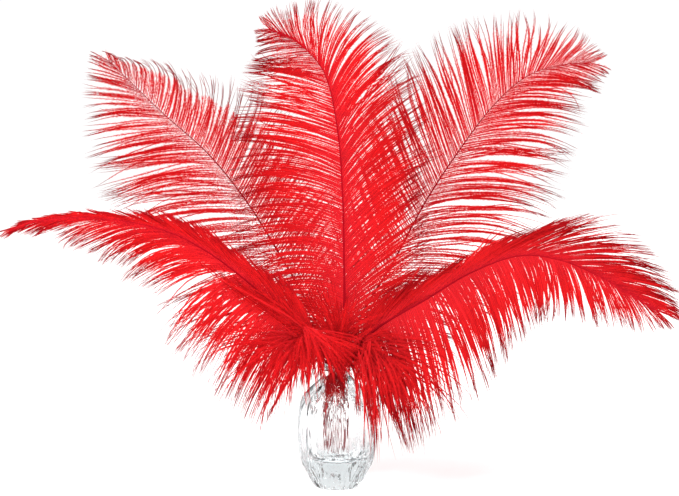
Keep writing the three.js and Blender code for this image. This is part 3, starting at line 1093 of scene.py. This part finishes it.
@dataclass(frozen=True)
class CutVase:
    """The clear glass vase: a blown egg shape with a narrow neck, cut all round.

    Its outside and inside are profiles of radius and height. The flutes fade in over the heights flutes_from
    and out over flutes_to, and their first ridge stands at first_ridge degrees. Cuts meet in an edge that is
    rounded over edge millimetres. The underside of the foot rises to foot_middle, and the cavity's floor dips
    to floor_middle.
    """

    name: str = "cut_glass_vase"
    node: str = "vase"
    flutes: int = 8
    first_ridge: float = -93.0
    turns: int = 192
    outer_rows: int = 130
    inner_rows: int = 44
    edge: float = 0.22
    flutes_from: tuple[float, float] = (17, 25)
    flutes_to: tuple[float, float] = (84, 88)
    foot_middle: float = 0.9
    floor_middle: float = 23.1
    outside: tuple[tuple[float, float], ...] = (
        (16.0, 0.9), (18.4, 0.0), (19.8, 1.0), (22.5, 4.6), (25.6, 9.4), (30.4, 19.0), (33.2, 30.0),
        (34.4, 42.0), (34.4, 54.0), (33.4, 66.0), (31.0, 76.0), (26.8, 83.0), (20.6, 87.4), (16.4, 90.2),
        (14.7, 94.0), (14.3, 98.5), (14.8, 101.8), (15.7, 103.8), (15.6, 105.4), (14.6, 106.0), (13.0, 105.7),
    )
    inside: tuple[tuple[float, float], ...] = (
        (12.2, 104.8), (10.8, 101.0), (10.6, 96.0), (10.7, 91.0), (14.2, 85.2), (21.2, 76.4), (25.2, 64.0),
        (26.2, 50.0), (24.6, 36.0), (20.5, 27.2), (14.0, 23.9), (7.0, 23.2),
    )
    scoops: tuple[Scoop, ...] = (
        Scoop(turn=0.5, low=(58, 32.0), high=(91, 14.6), bulge=3.4, hollow=0.036),
        Scoop(turn=0.5, low=(7.5, 23.2), high=(26, 30.6), bulge=-0.6, hollow=0.05),
        Scoop(turn=0.0, low=(-1, 18.4), high=(17, 28.0), bulge=-0.7, hollow=0.06),
    )

    def outer_rings(self) -> np.ndarray:
        """Draws the outside.

        Returns:
            Its rings of points, from under the foot to inside the rim.
        """
        profile = spline(np.array(self.outside), np.linspace(0, 1, self.outer_rows))
        radius, height = profile[:, :1], profile[:, 1:]
        turn = np.linspace(0, FULL_TURN, self.turns, endpoint=False)[None, :]
        pitch = FULL_TURN / self.flutes
        from_ridge = (turn / pitch + 0.5) % 1 - 0.5
        from_middle = from_ridge - np.sign(from_ridge) * 0.5
        flat = radius * math.cos(pitch / 2) / np.cos(from_middle * pitch)
        fluted = smoothstep(*self.flutes_from, height) * (1 - smoothstep(*self.flutes_to, height))
        shape = mix(radius + 0 * turn, flat, fluted)
        for scoop in self.scoops:
            off = ((turn / pitch - scoop.turn + 0.5) % 1 - 0.5) * pitch
            cut = scoop.radius(height, radius * np.sin(off))
            shape = -self.edge * np.logaddexp(-shape / self.edge, -cut / self.edge)
        around = turn + math.radians(self.first_ridge)
        return np.stack([shape * np.cos(around), shape * np.sin(around), height + 0 * turn], -1)

    def inner_rings(self) -> np.ndarray:
        """Draws the cavity.

        Returns:
            Its rings of points, from the rim down to the middle of its floor.
        """
        profile = spline(np.array(self.inside), np.linspace(0, 1, self.inner_rows))
        turn = np.linspace(0, FULL_TURN, self.turns, endpoint=False)[None, :] + math.radians(self.first_ridge)
        radius, height = profile[:, :1], profile[:, 1:] + 0 * turn
        return np.stack([radius * np.cos(turn), radius * np.sin(turn), height], -1)

    def build(self, material: bpy.types.Material) -> bpy.types.Object:
        """Makes the vase as one closed skin.

        Args:
            material: the glass.

        Returns:
            The new object, riding on the body.
        """
        rings = np.concatenate([self.outer_rings(), self.inner_rings()])
        count, sides = rings.shape[:2]
        middles = [[0, 0, self.foot_middle], [0, 0, self.floor_middle]]
        points = np.concatenate([rings.reshape(-1, 3), middles])
        outwards = tube_faces(count, sides)[:, (0, 3, 2, 1)]
        corner = np.arange(sides)
        following = (corner + 1) % sides
        last = (count - 1) * sides
        foot = np.stack([following, corner, np.full(sides, count * sides)], -1)
        floor = np.stack([last + corner, last + following, np.full(sides, count * sides + 1)], -1)
        mesh = bpy.data.meshes.new(self.name)
        faces = [*outwards.tolist(), *foot.tolist(), *floor.tolist()]
        mesh.from_pydata((points * MM).tolist(), [], faces)
        mesh.polygons.foreach_set("use_smooth", np.ones(len(faces), bool))
        mesh.materials.append(material)
        mesh.update()
        piece = show(self.name, mesh)
        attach(piece, BODY)
        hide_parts(self.node)
        LOG.info("%s: %d faces", self.name, len(faces))
        return piece


# ---- Finishes ------------------------------------------------------------------------------------------


class NodeWriter:
    """Adds shader nodes to a tree and feeds them, so that a finish reads as a list of its steps.

    Wherever an input is given, it is either an output to link to it or a value to set it to.
    """

    def __init__(self, tree: bpy.types.NodeTree) -> None:
        """Starts on an empty tree."""
        self.tree = tree
        tree.nodes.clear()

    def add(self, kind: str, **settings: object) -> bpy.types.Node:
        """Adds a node.

        Args:
            kind: the node's type.
            settings: properties of the node to set.

        Returns:
            The new node.
        """
        node = self.tree.nodes.new(kind)
        for name, value in settings.items():
            setattr(node, name, value)
        return node

    def put(self, value: object, target: bpy.types.NodeSocket) -> None:
        """Links an output to an input, or sets the input to a value.

        Args:
            value: the output or the value.
            target: the input.
        """
        if isinstance(value, bpy.types.NodeSocket):
            self.tree.links.new(value, target)
        else:
            target.default_value = value

    def feed(self, node: bpy.types.Node, **inputs: object) -> bpy.types.Node:
        """Feeds a node's inputs by name.

        Args:
            node: the node.
            inputs: what each input gets. Its name has _ for a space.

        Returns:
            The node.
        """
        for name, value in inputs.items():
            self.put(value, node.inputs[name.replace("_", " ")])
        return node

    def fill(self, node: bpy.types.Node, *inputs: object) -> bpy.types.Node:
        """Feeds a node's inputs in their order.

        Args:
            node: the node.
            inputs: what its first inputs get.

        Returns:
            The node.
        """
        for value, target in zip(inputs, node.inputs):
            self.put(value, target)
        return node

    def math(self, operation: str, *inputs: object, clamp: bool = False) -> bpy.types.NodeSocket:
        """Adds a calculation.

        Args:
            operation: what it works out.
            inputs: its numbers.
            clamp: keeps the result between 0 and 1.

        Returns:
            The result.
        """
        node = self.add("ShaderNodeMath", operation=operation, use_clamp=clamp)
        return self.fill(node, *inputs).outputs["Value"]

    def span(self, value: object, kind: str = "LINEAR", **ends: object) -> bpy.types.NodeSocket:
        """Adds a change of range. An end that isn't given is 0 if it is the low one, and 1 if the high one.

        Args:
            value: what goes in.
            kind: how it goes from one end to the other.
            ends: the ends of what goes in and comes out, by the names of the node's inputs.

        Returns:
            The result.
        """
        node = self.add("ShaderNodeMapRange", interpolation_type=kind)
        return self.feed(node, Value=value, **ends).outputs["Result"]

    def blend(self, share: object, first: object, second: object) -> bpy.types.NodeSocket:
        """Adds a mix of two colours.

        Args:
            share: how much of the second it has.
            first: one colour.
            second: the other.

        Returns:
            The mixed colour.
        """
        node = self.add("ShaderNodeMix", data_type="RGBA")
        self.feed(node, Factor=share)
        self.put(first, node.inputs[6])
        self.put(second, node.inputs[7])
        return node.outputs[2]

    def surface(self, share: object, first: bpy.types.Node, second: bpy.types.Node) -> bpy.types.Node:
        """Mixes two shaders into the material's surface.

        Args:
            share: how much of the second it has.
            first: one shader.
            second: the other.

        Returns:
            The material's output.
        """
        mixed = self.add("ShaderNodeMixShader")
        self.fill(mixed, share, first.outputs["BSDF"], second.outputs["BSDF"])
        return self.feed(self.add("ShaderNodeOutputMaterial"), Surface=mixed.outputs["Shader"])


def new_material(name: str) -> tuple[bpy.types.Material, NodeWriter]:
    """Makes an empty node material.

    Args:
        name: its name.

    Returns:
        The material and the writer for its tree.
    """
    material = bpy.data.materials.new(name)
    material.use_nodes = True
    return material, NodeWriter(material.node_tree)


@dataclass(frozen=True)
class Tones:
    """The tones kept on a plume's mesh: the lock's, the share of the way out, its own, the plume's painted
    lighting.
    """

    lock: bpy.types.NodeSocket
    way_out: bpy.types.NodeSocket
    own: bpy.types.NodeSocket
    painted_lighting: bpy.types.NodeSocket


def read_tones(w: NodeWriter) -> Tones:
    """Reads the tones kept on a plume's mesh.

    Args:
        w: the writer of the tree that uses them.

    Returns:
        The tones.
    """
    tone = w.add("ShaderNodeAttribute", attribute_name="tone")
    parts = w.feed(w.add("ShaderNodeSeparateColor"), Color=tone.outputs["Color"]).outputs
    return Tones(parts["Red"], parts["Green"], parts["Blue"], tone.outputs["Alpha"])


def dye_group() -> bpy.types.NodeTree:
    """Makes the uneven take-up of dye, which every part of a plume shares.

    Returns:
        A shader node group that shades a colour by a mottle in space and by each lock's own tone.
    """
    tree = bpy.data.node_groups.new("dye_take_up", "ShaderNodeTree")
    face = tree.interface
    face.new_socket("Light", in_out="INPUT", socket_type="NodeSocketColor")
    face.new_socket("Deep", in_out="INPUT", socket_type="NodeSocketColor")
    for name, value in (("Mottle", 0.35), ("Lock Tone", 0.35), ("Own Tone", 0.3), ("Mottle Scale", 60.0)):
        face.new_socket(name, in_out="INPUT", socket_type="NodeSocketFloat").default_value = value
    face.new_socket("Color", in_out="OUTPUT", socket_type="NodeSocketColor")
    w = NodeWriter(tree)
    given, out = w.add("NodeGroupInput").outputs, w.add("NodeGroupOutput")
    place = w.add("ShaderNodeTexCoord").outputs["Object"]
    noise = w.feed(w.add("ShaderNodeTexNoise"), Vector=place, Scale=given["Mottle Scale"])
    w.feed(noise, Detail=3.0, Roughness=0.6)
    tones = read_tones(w)
    patch = w.span(noise.outputs["Fac"], From_Min=0.3, From_Max=0.7)
    depth = w.math("MULTIPLY", patch, given["Mottle"])
    depth = w.math("MULTIPLY_ADD", tones.lock, given["Lock Tone"], depth)
    depth = w.math("MULTIPLY_ADD", tones.own, given["Own Tone"], depth, clamp=True)
    w.feed(out, Color=w.blend(depth, given["Light"], given["Deep"]))
    return tree


@dataclass(frozen=True)
class DyedFinish:
    """A dyed, softly matte part of a plume that lets some light through.

    Its colour goes from light to deep by the take-up of dye, and takes on root near the shaft and tip towards
    the end, by their shares. Own is how much each point's own tone counts. Last, the colour is scaled by the
    plume's painted lighting, which stands in for how brightly the plume is lit.
    """

    name: str
    light: Colour
    deep: Colour
    root: Colour
    root_share: float
    tip: Colour
    tip_share: float
    through: float
    roughness: float
    mottle: float
    own: float
    shine: float = 0.04

    ROOT_REACH = 0.6
    TIP_RANGE = (0.7, 0.97)

    def build(self, group: bpy.types.NodeTree) -> bpy.types.Material:
        """Makes the material.

        Args:
            group: the shared take-up of dye.

        Returns:
            The new material.
        """
        material, w = new_material(self.name)
        tones = read_tones(w)
        dye = w.add("ShaderNodeGroup", node_tree=group)
        w.feed(dye, Light=(*self.light, 1), Deep=(*self.deep, 1), Mottle=self.mottle, Own_Tone=self.own)
        near = w.span(
            tones.way_out, "SMOOTHSTEP", From_Max=self.ROOT_REACH, To_Min=self.root_share, To_Max=0.0
        )
        far_from, far_to = self.TIP_RANGE
        far = w.span(
            tones.way_out, "SMOOTHSTEP", From_Min=far_from, From_Max=far_to, To_Min=0.0, To_Max=self.tip_share
        )
        colour = w.blend(near, dye.outputs["Color"], (*self.root, 1))
        colour = w.blend(far, colour, (*self.tip, 1))
        # Painted lighting: the colour is scaled by the plume's own brightness, which stands in for how
        # brightly it is lit.
        painted_lit_colour = w.feed(w.add("ShaderNodeVectorMath", operation="SCALE"), Vector=colour, Scale=tones.painted_lighting)
        painted_lit_colour = painted_lit_colour.outputs["Vector"]
        front = w.add("ShaderNodeBsdfPrincipled")
        w.feed(front, Base_Color=painted_lit_colour, Roughness=self.roughness, Specular_IOR_Level=self.shine)
        behind = w.feed(w.add("ShaderNodeBsdfTranslucent"), Color=painted_lit_colour)
        w.surface(self.through, front, behind)
        return material


@dataclass(frozen=True)
class GlassFinish:
    """Clear polished glass with faint upright streaks, which lets light straight through in shadow."""

    name: str = "clear_cut_glass"
    ior: float = 1.5
    absorption: Colour = (0.93, 0.942, 0.946)
    density: float = 90.0
    streaks: float = 220.0
    streak_height: float = 0.07
    ripple: float = 0.5
    ripple_depth: float = 2 * MM

    def build(self) -> bpy.types.Material:
        """Makes the material.

        Returns:
            The new material.
        """
        material, w = new_material(self.name)
        place = w.add("ShaderNodeTexCoord").outputs["Object"]
        drawn = w.feed(w.add("ShaderNodeMapping"), Vector=place, Scale=(1.0, 1.0, self.streak_height))
        noise = w.add("ShaderNodeTexNoise")
        w.feed(noise, Vector=drawn.outputs["Vector"], Scale=self.streaks, Detail=2.0)
        ripple = w.feed(w.add("ShaderNodeBump"), Strength=self.ripple, Distance=self.ripple_depth)
        w.feed(ripple, Height=noise.outputs["Fac"])
        glass = w.feed(w.add("ShaderNodeBsdfPrincipled"), Base_Color=(1.0, 1.0, 1.0, 1.0), IOR=self.ior)
        w.feed(glass, Roughness=0.0, Transmission_Weight=1.0, Normal=ripple.outputs["Normal"])
        in_shadow = w.add("ShaderNodeLightPath").outputs["Is Shadow Ray"]
        out = w.surface(in_shadow, glass, w.add("ShaderNodeBsdfTransparent"))
        body = w.add("ShaderNodeVolumeAbsorption")
        w.feed(body, Color=(*self.absorption, 1), Density=self.density)
        w.feed(out, Volume=body.outputs["Volume"])
        return material


@dataclass(frozen=True)
class FloorFinish:
    """White paper that the vase stands on, with a faint grain."""

    name: str = "white_paper"
    grain: float = 900.0
    tints: tuple[float, float] = (0.93, 0.97)
    roughness: float = 0.9

    def build(self) -> bpy.types.Material:
        """Makes the material.

        Returns:
            The new material.
        """
        material, w = new_material(self.name)
        noise = w.feed(w.add("ShaderNodeTexNoise"), Scale=self.grain, Detail=2.0)
        dark, light = self.tints
        tint = w.span(noise.outputs["Fac"], To_Min=dark, To_Max=light)
        paper = w.feed(w.add("ShaderNodeBsdfPrincipled"), Base_Color=tint, Roughness=self.roughness)
        w.feed(w.add("ShaderNodeOutputMaterial"), Surface=paper.outputs["BSDF"])
        return material


BARB_FINISH = DyedFinish(
    name="dyed_barb",
    light=(0.54, 0.006, 0.011),
    deep=(0.20, 0.002, 0.005),
    root=(0.52, 0.008, 0.020),
    root_share=0.5,
    tip=(0.34, 0.004, 0.009),
    tip_share=0.6,
    through=0.15,
    roughness=0.6,
    mottle=0.3,
    own=0.55,
)
BARBULE_FINISH = DyedFinish(
    name="dyed_barbule",
    light=(0.93, 0.022, 0.024),
    deep=(0.72, 0.008, 0.011),
    root=(0.86, 0.030, 0.040),
    root_share=0.5,
    tip=(0.55, 0.004, 0.008),
    tip_share=0.5,
    through=0.4,
    roughness=0.8,
    mottle=0.25,
    own=0.3,
)
SHAFT_FINISH = DyedFinish(
    name="dyed_shaft",
    light=(0.36, 0.003, 0.010),
    deep=(0.08, 0.001, 0.003),
    root=(0.22, 0.002, 0.007),
    root_share=0.6,
    # Painted highlight: the shaft turns lighter towards its tip.
    tip=(0.70, 0.010, 0.024),
    tip_share=0.3,
    through=0.03,
    roughness=0.5,
    mottle=0.2,
    own=2.4,
    shine=0.02,
)
WEB_FINISH = DyedFinish(
    name="dyed_web",
    light=(0.92, 0.022, 0.024),
    deep=(0.60, 0.007, 0.011),
    root=(0.82, 0.030, 0.040),
    root_share=0.6,
    tip=(0.42, 0.004, 0.009),
    tip_share=0.6,
    through=0.35,
    roughness=0.8,
    mottle=0.2,
    own=0.5,
)


# ---- The studio ----------------------------------------------------------------------------------------


def put_up(lamp: bpy.types.Light, at: Place, way: Vector) -> bpy.types.Object:
    """Puts up a lamp.

    Args:
        lamp: the lamp's light.
        at: where it stands, in metres.
        way: the way that it shines.

    Returns:
        The lamp.
    """
    shown = show(lamp.name, lamp)
    shown.location = at
    shown.rotation_mode = "QUATERNION"
    shown.rotation_quaternion = way.to_track_quat("-Z", "Y")
    return shown


@dataclass(frozen=True)
class Softbox:
    """One soft square lamp: where it stands, what it points at, its side, in metres, and its power."""

    name: str
    at: Place
    towards: Place
    side: float
    power: float

    def build(self) -> bpy.types.Object:
        """Makes the lamp.

        Returns:
            The lamp.
        """
        data = bpy.data.lights.new(self.name, "AREA")
        data.size, data.energy = self.side, self.power
        return put_up(data, self.at, Vector(self.towards) - Vector(self.at))


@dataclass(frozen=True)
class Studio:
    """The camera, the white floor and the high-key light.

    The camera sees scale millimetres to a picture point at the vase's axis, from distance away. It is tilted
    down and looks at target, a place across and up. The white surroundings are as bright as sky above, in
    front and behind, and dim to sides low down on both sides, where the glass picks up its greys. The clip,
    the floor's side and the places of the lamps are in metres.
    """

    picture_width: int = 679
    sensor_width: float = 36.0
    scale: float = 0.85
    distance: float = 1100.0
    tilt: float = 3.0
    target: tuple[float, float] = (2.15, 203.68)
    clip: tuple[float, float] = (0.05, 60.0)
    floor_side: float = 30.0
    sky: float = 1.03
    sides: float = 0.58
    dim_aside: tuple[float, float] = (0.35, 0.85)
    dim_below: tuple[float, float] = (0.6, 0.15)
    sun: float = 1.6
    sun_spread: float = 50.0
    sun_from: Place = (-0.6, -0.8, 1.8)
    softboxes: tuple[Softbox, ...] = (
        Softbox("key_light", (-1.3, -1.5, 1.9), (0.0, 0.0, 0.2), 1.2, 44.0),
        Softbox("fill_light", (1.6, -1.6, 0.9), (0.0, 0.0, 0.2), 1.4, 22.0),
    )

    def camera(self) -> bpy.types.Object:
        """Makes the camera.

        Returns:
            The camera.
        """
        data = bpy.data.cameras.new("camera")
        data.sensor_width = self.sensor_width
        data.lens = self.distance / self.scale * self.sensor_width / self.picture_width
        data.clip_start, data.clip_end = self.clip
        camera = show("camera", data)
        tilt = math.radians(self.tilt)
        across, up = self.target
        place = (across, -self.distance * math.cos(tilt), up + self.distance * math.sin(tilt))
        camera.location = Vector(place) * MM
        camera.rotation_euler = (math.pi / 2 - tilt, 0, 0)
        bpy.context.scene.camera = camera
        return camera

    def floor(self) -> bpy.types.Object:
        """Makes the floor that the vase stands on.

        Returns:
            The floor.
        """
        half = self.floor_side / 2
        mesh = bpy.data.meshes.new("floor")
        corners = [(-half, -half, 0), (half, -half, 0), (half, half, 0), (-half, half, 0)]
        mesh.from_pydata(corners, [], [(0, 1, 2, 3)])
        mesh.materials.append(FloorFinish().build())
        floor = show("floor", mesh)
        return floor

    def surroundings(self) -> bpy.types.World:
        """Makes the white surroundings.

        Returns:
            The world.
        """
        world = bpy.data.worlds.new("white_room")
        world.use_nodes = True
        w = NodeWriter(world.node_tree)
        place = w.add("ShaderNodeTexCoord").outputs["Generated"]
        way = w.feed(w.add("ShaderNodeSeparateXYZ"), Vector=place).outputs
        aside = w.math("ABSOLUTE", way["X"])
        dims = [
            w.span(value, "SMOOTHSTEP", From_Min=start, From_Max=end)
            for value, (start, end) in ((aside, self.dim_aside), (way["Z"], self.dim_below))
        ]
        bright = w.span(w.math("MULTIPLY", *dims), To_Min=self.sky, To_Max=self.sides)
        sky = w.feed(w.add("ShaderNodeBackground"), Color=(1.0, 1.0, 1.0, 1.0), Strength=bright)
        w.feed(w.add("ShaderNodeOutputWorld"), Surface=sky.outputs["Background"])
        bpy.context.scene.world = world
        return world

    def build(self) -> None:
        """Sets up the whole studio."""
        self.camera()
        self.floor()
        self.surroundings()
        sun = bpy.data.lights.new("ceiling_light", "SUN")
        sun.energy, sun.angle = self.sun, math.radians(self.sun_spread)
        put_up(sun, (0.0, 0.0, 0.0), -Vector(self.sun_from))
        for softbox in self.softboxes:
            softbox.build()
        view = bpy.context.scene.view_settings
        view.view_transform = "Standard"
        view.look = "None"
        LOG.info("studio: camera, floor and %d lamps", 1 + len(self.softboxes))


def main() -> None:
    """Builds the studio, the plumes and the vase."""
    logging.basicConfig(level=logging.INFO, format="%(message)s")
    Studio().build()
    group = dye_group()
    finishes = (BARB_FINISH, BARBULE_FINISH, SHAFT_FINISH, WEB_FINISH)
    materials = [finish.build(group) for finish in finishes]
    for plume in (LOW_LEFT, HIGH_LEFT, CENTER, HIGH_RIGHT, LOW_RIGHT):
        plume.build(materials)
    CutVase().build(GlassFinish().build())


if __name__ == "__main__":
    main()
